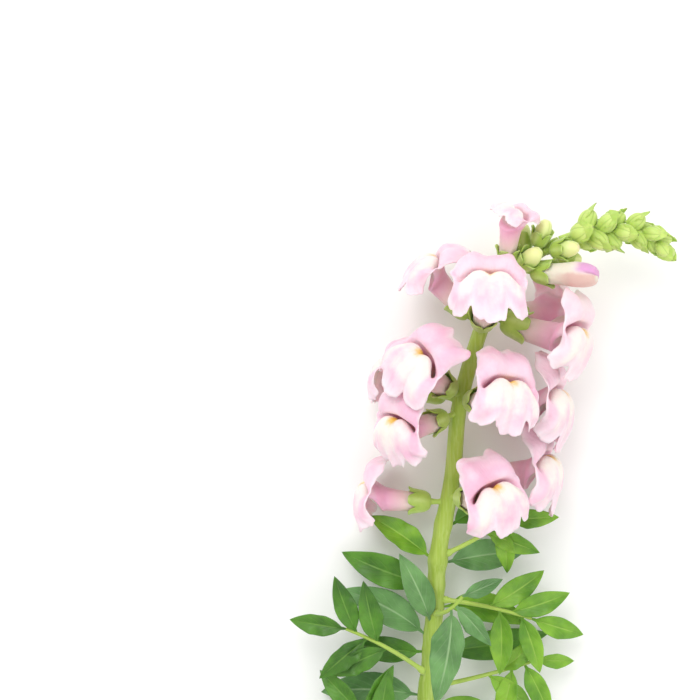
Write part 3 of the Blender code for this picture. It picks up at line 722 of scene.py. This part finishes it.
def bud_mesh(seat, size, draw):
    """A shut bud, its lips folded over each other."""
    shares = np.linspace(0, len(BUD_PROFILE) - 1, BUD_ROWS)[:, None]
    outline = smooth(BUD_PROFILE, BUD_ROWS)[:, None, :]
    angles = turn_angles(BUD_COLUMNS)[None, :]
    fold = (near(np.cos(angles), BUD_FOLD_MIDDLE, BUD_FOLD_WIDTH)
            * ramp(shares, BUD_FOLD_FROM, BUD_FOLD_ROWS))
    crease = (near(np.abs(np.sin(angles / 2)), 0, BUD_CREASE_WIDTH)
              * ramp(shares, BUD_CREASE_FROM, BUD_FOLD_ROWS))
    radius = outline[..., 1] * (1 - BUD_FOLD_DEPTH * fold - BUD_CREASE_DEPTH * crease
                                + BUD_UNEVENNESS * wave_sum(angles, BUD_CRESTS, draw))
    points = turned(outline[..., 0], radius, angles)
    points[..., 2] += outline[..., 2]
    return grid_mesh("bud", seat.place(points * size), closed=True, capped=True, fold=fold,
                     along=shares / (len(BUD_PROFILE) - 1))


# A bud is green at its foot and cream at its end, where some are touched with pink.
bud = Finish("bud cream", Roughness=0.45, Subsurface_Weight=0.3,
             Subsurface_Radius=(0.004, 0.004, 0.002), Subsurface_Scale=0.5, Sheen_Weight=0.2)
mottle = bud.noise(140, 3)
cream = bud.mix(bud.note("along").rise(0.1, 0.8), tint("B5CE6C"), tint("DEE59C"))
cream = bud.mix(bud.note("along").rise(0.75, 1.0) * mottle.rise(0.45, 0.65) * 0.6, cream,
                tint("EAC6B4"))
# Painted shade: the folds at each side are painted a darker, duller green.
cream = bud.mix(bud.note("fold") * 0.6, cream, tint("BFCB72"))
bud_finish = bud.dress(cream, mottle, BUD_RELIEF)
for number, (distance, turn_angle, rise, size) in enumerate(BUDS, 1):
    seat = growth_seat(distance, turn_angle, rise).ahead(BUD_STALK_LENGTH)
    add_piece(f"bud_{number:02d}", bud_mesh(seat, size, random.Random(BUD_SEED + number)), bud_finish,
              [f"bud_{number:02d}"])


# The leaves. They are thin entire blades, pointed at both ends, folded a little along a pale
# midrib, and they grow straight from the axis or along the thin side shoots.
# Leaves: distance, heading, lift, roll, length, width, downward curl and sideways sweep.
LEAVES = [
    (0.1710, 178, 8, 10, 0.040, 0.013, 25, -12),
    (0.1880, 106, 32, 10, 0.040, 0.014, 50, 10),
    (0.1180, 132, 10, 20, 0.052, 0.017, 45, 25),
    (0.1320, 8, 6, -5, 0.052, 0.018, 25, -30),
    (0.1480, 168, 3, 10, 0.052, 0.018, 28, 20),
    (0.1460, -12, 30, -20, 0.050, 0.019, 70, -10),
    (0.1720, 4, 2, -10, 0.060, 0.015, 28, 12),
    (0.1800, 136, 12, 15, 0.050, 0.017, 45, 25),
    (0.1950, 12, 6, -15, 0.046, 0.015, 30, -45),
    (0.2060, 165, 6, 10, 0.048, 0.016, 25, -15),
    (0.2180, 12, -10, -10, 0.044, 0.016, 15, -10),
    (0.2200, 138, 4, 20, 0.038, 0.014, 20, 10),
    (0.2380, 36, -2, -20, 0.034, 0.013, 30, -8),
]
LEAF_THICKNESS = 0.0004
LEAF_SINK = 0.0004
LEAF_COLUMNS = 25
LEAF_ROWS = 56
# The outline: the share that is stalk, how near the foot it is widest and how full it is.
# Below 1, the lean brings the widest part nearer the foot.
PETIOLE_SHARE = 0.08
BLADE_LEAN = 0.82
BLADE_FULLNESS = 0.85
PETIOLE_HALF_WIDTH = 0.0009
PETIOLE_START = 0.45
PETIOLE_WIDENING = 7
LEAF_FOLD = 0.35
LEAF_FOLD_ROUNDING = 0.1
MARGIN_WAVE = 0.18
MARGIN_CRESTS = (1, 2, 4)
MIDRIB_DEPTH = 0.0004
MIDRIB_WIDTH = 0.07
MIDRIB_FADE = 0.6
LEAF_RELIEF = 0.00018
LEAF_SEED = 300


def heading_vector(heading, lift):
    """A unit vector from a heading seen from above and a lift, in degrees."""
    heading, lift = math.radians(heading), math.radians(lift)
    return np.array((math.cos(heading) * math.cos(lift), math.sin(heading) * math.cos(lift),
                     math.sin(lift)))


def facing_seat(origin, forward, roll):
    """A seat at a point with its upper face to the sky, turned by the roll."""
    up = unit(np.array((0, 0, 1.0)) - forward * forward[2])
    return rolled(origin, forward, np.cross(up, forward), up, roll)


def skin_place(distance, forward, gap):
    """The point just off the axis's skin from which a piece grows forward."""
    place, radius, along, _, _ = stem_frame(distance)
    return place + unit(forward - along * (forward @ along)) * (radius + gap)


def leaf_mesh(seat, length, width, curl, sweep, draw, columns=LEAF_COLUMNS, rows=LEAF_ROWS):
    """One arched blade with its midrib, gently waved along its margins."""
    part = np.linspace(0, 1, rows)
    pitch, yaw = math.radians(curl) * part, math.radians(sweep) * part
    way = np.stack([np.cos(pitch) * np.cos(yaw), np.cos(pitch) * np.sin(yaw), -np.sin(pitch)], -1)
    middle = (way[1:] + way[:-1]) / 2 * (length / (rows - 1))
    spine = np.concatenate([np.zeros((1, 3)), np.cumsum(middle, axis=0)])
    blade = ramp(part, PETIOLE_SHARE, 1 - PETIOLE_SHARE)
    outline = np.maximum(np.sin(math.pi * blade ** BLADE_LEAN), 0) ** BLADE_FULLNESS
    petiole = PETIOLE_HALF_WIDTH * np.minimum(1.0, PETIOLE_START + PETIOLE_WIDENING * part)
    half = np.maximum(width / 2 * outline, petiole * (1 - part))[:, None, None]

    across = np.linspace(-1, 1, columns)[None, :, None]
    sideways = np.stack([-np.sin(yaw), np.cos(yaw), 0 * yaw], -1)[:, None, :]
    points = spine[:, None, :] + sideways * across * half
    part = part[:, None, None]
    fold = np.sqrt(across ** 2 + LEAF_FOLD_ROUNDING ** 2) - LEAF_FOLD_ROUNDING
    wave = across * np.abs(across) * wave_sum(part * 2 * math.pi, MARGIN_CRESTS, draw)
    wave = wave * MARGIN_WAVE * np.sin(math.pi * part)
    points[..., 2:] += (fold * LEAF_FOLD + wave) * half
    points[..., 2:] -= near(across, 0, MIDRIB_WIDTH) * MIDRIB_DEPTH * (1 - MIDRIB_FADE * part)
    return grid_mesh("leaf", press(seat.place(points)), across=across[..., 0],
                     along=part[..., 0])


def leaf_finish(name, deep, bright, rib, sheen):
    """A leaf's skin: its two greens, its pale veins, a painted highlight on one half and its soft
    shine.
    """
    leaf = Finish(name, Subsurface_Weight=0.12, Subsurface_Radius=(0.002, 0.005, 0.001),
                  Subsurface_Scale=0.4, Sheen_Weight=sheen, Specular_IOR_Level=0.4)
    across, along = leaf.note("across"), leaf.note("along")
    wide = across.math("ABSOLUTE", across)
    cloud = leaf.noise(55, 3)
    grain = leaf.noise(900, 3)
    green = leaf.mix(cloud.rise(0.3, 0.7), tint(deep), tint(bright))
    slant = along * 46 - wide * 17 + cloud * 5
    veins = slant.math("SINE", slant).rise(0.8, 1.0) * wide.rise(0.95, 0.5)
    green = leaf.mix(veins * 0.10, green, tint(rib))
    green = leaf.mix(wide.rise(0.10, 0.02) * along.rise(1.0, 0.6) * 0.55, green, tint(rib))
    # Painted highlight: one half of the blade, from the midrib outwards, is painted lighter, as if
    # lit from that side.
    green = leaf.mix(across.rise(-0.1, 0.5) * 0.22, green, tint(bright))
    return leaf.dress(green, grain * 0.4 - veins * 0.5, LEAF_RELIEF,
                      Roughness=0.34 + cloud * 0.2)


leaf_finishes = [leaf_finish("leaf green", "4E8016", "86B433", "A0C255", 0.05),
                 leaf_finish("leaf dark green", "2F5A12", "568A22", "769F42", 0.05),
                 leaf_finish("leaf blue green", "416C33", "6C9A58", "A6C492", 0.25)]
for number, (distance, heading, lift, roll, length, width, curl, sweep) in enumerate(LEAVES, 1):
    forward = heading_vector(heading, lift)
    seat = facing_seat(skin_place(distance, forward, -LEAF_SINK), forward, roll)
    mesh = leaf_mesh(seat, length, width, curl, sweep, random.Random(LEAF_SEED + number))
    add_piece(f"leaf_{number:02d}", mesh, leaf_finishes[number % 3],
              [f"leaf_{number:02d}"], thickness=LEAF_THICKNESS)


# The side shoots. A thin stalk grows from the axis beside a leaf and carries small leaves on
# both sides up to its end.
# Shoots: distance, heading, lift, length, sideways sweep, and each leaf's turn and size.
SHOOTS = [
    (0.1200, 155, 34, 0.038, -30, ((55, 1.0), (-50, 1.0), (40, 1.0), (-60, 1.0), (10, 1.0))),
    (0.1540, 14, 10, 0.052, 4, ((-50, 0.9), (22, 0.8), (-112, 0.95), (-75, 1.0), (-20, 0.7))),
    (0.1620, 140, 30, 0.048, 20, ((50, 1.0), (-45, 1.0), (60, 1.0), (-42, 1.0), (12, 1.0))),
    (0.1930, 20, 78, 0.024, 40, ((-132, 1.45), (-91, 0.85), (-35, 0.75))),
    (0.1990, -5, 16, 0.045, -14, ((40, 1.0), (-70, 1.0), (30, 1.0), (-50, 1.0), (0, 1.0))),
    (0.2240, 27, 12, 0.034, 8, ((12, 0.9), (-48, 0.9), (-105, 0.85), (-30, 0.9))),
]
# Which of the leaf skins each shoot has.
SHOOT_TONES = [1, 0, 1, 2, 0, 0]
# A shoot's stalk starts just off the axis's skin, and its root reaches back into it.
SHOOT_GAP = 0.0007
SHOOT_ROOT = 0.0022
SHOOT_STEPS = 8
SHOOT_RINGS = 48
SHOOT_SIDES = 16
SHOOT_RADIUS = 0.0013
SHOOT_TAPER = 0.0005
SHOOT_FLARE = 0.0008
SHOOT_FLARE_STEPS = 0.35
SHOOT_LEAF_LENGTH = 0.034
SHOOT_LEAF_WIDTH = 0.012
SHOOT_LEAF_COLUMNS = 17
SHOOT_LEAF_ROWS = 36
FIRST_LEAF_SHARE = 0.35
# How the leaves sit: the lift of each in turn, their size and how it shrinks towards the end,
# their curl, and the shares of a leaf's turn that its roll and its sweep take.
SHOOT_LEAF_LIFTS = [2, 14, 9, 14, 2]
SHOOT_LEAF_SIZE = 1.15
SHOOT_LEAF_SHRINK = 0.25
SHOOT_LEAF_SINK = 0.0003
SHOOT_LEAF_CURL = 35
ROLL_SHARE = 0.15
SWEEP_SHARE = 0.3
SHOOT_SEED = 400

for number, (distance, heading, lift, length, sweep, leaves) in enumerate(SHOOTS, 1):
    draw = random.Random(SHOOT_SEED + number)
    spot = skin_place(distance, heading_vector(heading, lift), SHOOT_GAP)
    way = np.array([heading_vector(heading + sweep * i / SHOOT_STEPS, lift * (1 - i / SHOOT_STEPS))
                    for i in range(SHOOT_STEPS)])
    knots = spot + np.concatenate([np.zeros((1, 3)),
                                   np.cumsum(way, axis=0) * length / SHOOT_STEPS])
    knots = press(knots)
    line = smooth(knots, SHOOT_RINGS)
    line[0] -= way[0] * SHOOT_ROOT
    ahead = unit(np.gradient(line, axis=0))
    side = unit(np.cross(ahead, (0, 0, 1.0)))
    top = np.cross(side, ahead)
    shares = np.linspace(0, SHOOT_STEPS, SHOOT_RINGS)[:, None]
    radius = (SHOOT_RADIUS - SHOOT_TAPER * shares / SHOOT_STEPS
              + SHOOT_FLARE * near(shares, 0, SHOOT_FLARE_STEPS))
    skin = line[:, None] + spokes(top, side, SHOOT_SIDES) * radius[..., None]
    stalk = grid_mesh("stalk", skin, closed=True, capped=True, rib=0.0,
                      along=shares / SHOOT_STEPS)
    blades = []
    for i, (turn_angle, scale) in enumerate(leaves):
        part = FIRST_LEAF_SHARE + (1 - FIRST_LEAF_SHARE) * (i + 1) / len(leaves)
        leaf_lift = lift * (1 - part) + SHOOT_LEAF_LIFTS[i]
        forward = heading_vector(heading + sweep * part + turn_angle, leaf_lift)
        root = knots[round(part * SHOOT_STEPS)] - forward * SHOOT_LEAF_SINK
        size = (SHOOT_LEAF_SIZE - SHOOT_LEAF_SHRINK * part) * scale
        seat = facing_seat(root, forward, -turn_angle * ROLL_SHARE)
        blades.append(leaf_mesh(seat, SHOOT_LEAF_LENGTH * size, SHOOT_LEAF_WIDTH * size,
                                SHOOT_LEAF_CURL, turn_angle * SWEEP_SHARE, draw,
                                SHOOT_LEAF_COLUMNS, SHOOT_LEAF_ROWS))
    add_piece(f"shoot_{number:02d}_leaves", join("blades", blades),
              leaf_finishes[SHOOT_TONES[number - 1]], [f"shoot_{number:02d}"],
              thickness=LEAF_THICKNESS)
    add_piece(f"shoot_{number:02d}_stalk", stalk, sepal_finish)


# The bud tip. The axis ends in a curled spike of crowded green buds, each under a pointed
# bract with a dark tip.
# The core, which carries the axis on under the buds.
CORE_INSET = 0.0006
CORE_RINGS = 40
CORE_SIDES = 20
CORE_TONE = 0.3
# The buds: their number, the bare length below them, and their size, turn and rise up the tip.
TIP_BUDS = 18
TIP_BARE = 0.0070
TIP_BUD_SIZE = 0.0051
TIP_BUD_SHRINK = 0.0014
TIP_BUD_TURN = 137.5
TIP_TURN_SPREAD = 10
TIP_BUD_RISE = 34
TIP_RISE_GAIN = 40
TIP_BUD_ROWS = 24
TIP_BUD_COLUMNS = 30
# Their form, in shares of their size.
TIP_BUD_REACH = 0.8
TIP_BUD_STRETCH = 1.25
TIP_FOLD_DEPTH = 0.12
TIP_FOLD_SHARPNESS = 0.6
# The bract under each: how far its foot sinks in, then its drop, length and width in shares
# of the bud's size, and its curl upwards.
BRACT_INSET = 0.0008
BRACT_DROP = 0.8
BRACT_LENGTH = 3.2
BRACT_WIDTH = 2.1
BRACT_CURL = -35
BRACT_COLUMNS = 13
BRACT_ROWS = 20
TIP_RELIEF = 0.0002
TIP_SEED = 4

draw = random.Random(TIP_SEED)
tip_end = path_distance[-1]
places, radii, along, top, side = stem_frame(
    np.linspace(TIP_START + CORE_INSET, tip_end, CORE_RINGS))
core = places[:, None] + spokes(top, side, CORE_SIDES) * radii[:, None, None]
tip_meshes = [grid_mesh("core", core, closed=True, capped=True, fold=0.0, along=CORE_TONE)]
bract_meshes = []
for i in range(TIP_BUDS):
    part = (i + 0.5) / TIP_BUDS
    distance = TIP_START + TIP_BARE + (tip_end - TIP_START - TIP_BARE) * part
    turn_angle = i * TIP_BUD_TURN + draw.uniform(-TIP_TURN_SPREAD, TIP_TURN_SPREAD)
    size = TIP_BUD_SIZE - TIP_BUD_SHRINK * part
    seat = growth_seat(distance, turn_angle, TIP_BUD_RISE + TIP_RISE_GAIN * part ** 3)
    shares = np.linspace(0, math.pi, TIP_BUD_ROWS)[:, None]
    angles = turn_angles(TIP_BUD_COLUMNS)[None, :]
    fold = np.abs(np.sin(SEPALS / 2 * angles)) ** TIP_FOLD_SHARPNESS
    radius = size * np.sin(shares) * (1 - TIP_FOLD_DEPTH + TIP_FOLD_DEPTH * fold)
    reach = size * (TIP_BUD_REACH - TIP_BUD_STRETCH * np.cos(shares))
    tip_meshes.append(grid_mesh("bud", seat.place(turned(reach, radius, angles)), closed=True,
                                capped=True, fold=1 - fold, along=shares / math.pi))
    under = Seat(seat.place(np.array((-BRACT_INSET, 0, -size * BRACT_DROP))), *seat.axes)
    bract_meshes.append(leaf_mesh(under, size * BRACT_LENGTH, size * BRACT_WIDTH, BRACT_CURL, 0,
                                  draw, BRACT_COLUMNS, BRACT_ROWS))

# The tip's buds are a bright yellow green, with a painted shade darkening their folds. The bracts
# are a duller green, brown at the tip.
tip = Finish("tip green", Subsurface_Weight=0.25, Subsurface_Radius=(0.003, 0.005, 0.001),
             Subsurface_Scale=0.4, Sheen_Weight=0.2)
mottle = tip.noise(260, 4)
green = tip.mix(tip.note("along").rise(0.2, 0.9), tint("B2CC5E"), tint("C9DC7C"))
# Painted shade: the grooves between each bud's lobes are painted a darker green.
green = tip.mix(tip.note("fold").rise(0.5, 1.0) * 0.6, green, tint("93B445"))
green = tip.mix(mottle.rise(0.45, 0.75) * 0.4, green, tint("A2C04E"))
tip_finish = tip.dress(green, mottle, TIP_RELIEF, Roughness=0.42 + mottle * 0.2)
bract = Finish("bract green", Subsurface_Weight=0.2, Subsurface_Radius=(0.003, 0.005, 0.001),
               Subsurface_Scale=0.4, Sheen_Weight=0.2)
mottle = bract.noise(260, 4)
green = bract.mix(mottle.rise(0.4, 0.7), tint("A6C354"), tint("BDD36C"))
green = bract.mix(bract.note("along").rise(0.93, 1.0) * 0.8, green, tint("5B5140"))
bract_finish = bract.dress(green, mottle, TIP_RELIEF, Roughness=0.42 + mottle * 0.2)
add_piece("bud_tip", join("bud_tip", tip_meshes), tip_finish, ["bud_tip"])
add_piece("bracts", join("bracts", bract_meshes), bract_finish,
          thickness=LEAF_THICKNESS)


# The table, the studio light and the camera, which looks straight down on the stem. The stem
# runs on past the picture's lower edge, so its cut end is out of sight.
VIEW_WIDTH = 0.35
VIEW_CENTRE = (-0.0665, 0.1265)
VIEW_PLANE = 0.035
LENS = 85.0
SENSOR = 36.0
CLIP = (0.01, 20.0)
camera = bpy.data.objects.new("camera", bpy.data.cameras.new("camera"))
camera.data.lens = LENS
camera.data.sensor_width = SENSOR
camera.location = (*VIEW_CENTRE, VIEW_PLANE + VIEW_WIDTH * LENS / SENSOR)
camera.data.clip_start, camera.data.clip_end = CLIP
bpy.context.scene.collection.objects.link(camera)
bpy.context.scene.camera = camera

TABLE_SIZE = 12.0
table = Finish("table", Roughness=0.85)
table_finish = table.dress(table.mix(table.noise(3, 2), tint("F6F6F4"), tint("FAFAF8")))
bpy.ops.mesh.primitive_plane_add(size=TABLE_SIZE, location=(0, 0, 0))
floor = bpy.context.object
floor.name = "table"
floor.data.materials.append(table_finish)

SKY_STRENGTH = 0.92
world = bpy.data.worlds.new("studio")
world.use_nodes = True
sky = world.node_tree.nodes["Background"]
sky.inputs["Color"].default_value = (1.0, 1.0, 1.0, 1.0)
sky.inputs["Strength"].default_value = SKY_STRENGTH
bpy.context.scene.world = world
bpy.context.scene.view_settings.view_transform = "Standard"
# Lamps: name, place, width, power and the point that they face.
LAMPS = [
    ("key", (-0.5, 0.9, 1.3), 0.9, 11.0, (0, 0.05, 0.03)),
    ("fill", (0.9, -0.4, 1.1), 1.2, 5.0, (0, 0.05, 0.03)),
]
for name, place, width, power, aim in LAMPS:
    lamp = bpy.data.lights.new(name, "AREA")
    lamp.size = width
    lamp.energy = power
    holder = bpy.data.objects.new(name, lamp)
    holder.location = place
    away = holder.location - type(holder.location)(aim)
    holder.rotation_euler = away.to_track_quat("Z", "Y").to_euler()
    bpy.context.scene.collection.objects.link(holder)
